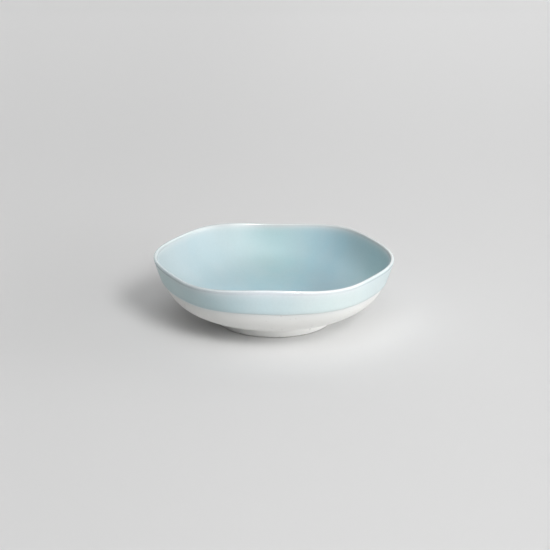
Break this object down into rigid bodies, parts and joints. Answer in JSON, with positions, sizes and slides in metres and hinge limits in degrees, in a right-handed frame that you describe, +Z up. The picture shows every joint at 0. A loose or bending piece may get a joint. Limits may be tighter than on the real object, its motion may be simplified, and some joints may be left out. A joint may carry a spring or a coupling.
{
  "type": "side dish bowl",
  "caption": "Shallow hand-shaped porcelain bowl with a soft wavy lip, pale blue glaze inside and in a band below the lip, a bare lower wall and a low foot ring, for serving side dishes.",
  "frame": {"origin": "on the table, on the bowl's axis, at the middle of the foot ring's underside", "axes": "+Z up along the bowl's axis; +X towards the lip corner on the right of the picture; +Y away from the viewer"},
  "size_m": [0.1212, 0.1148, 0.0346],
  "materials": {
    "bare_porcelain": "bare, polished matt",
    "foot_porcelain": "bare, ground matt",
    "liner_glaze": "gloss",
    "rim_glaze": "gloss, thinning to near white on the lip"
  },
  "bodies": {
    "root": {"porcelain_body": "bare_porcelain", "foot_ring": "foot_porcelain", "inner_glaze": "liner_glaze", "outer_glaze_band": "rim_glaze"}
  },
  "joints": []
}
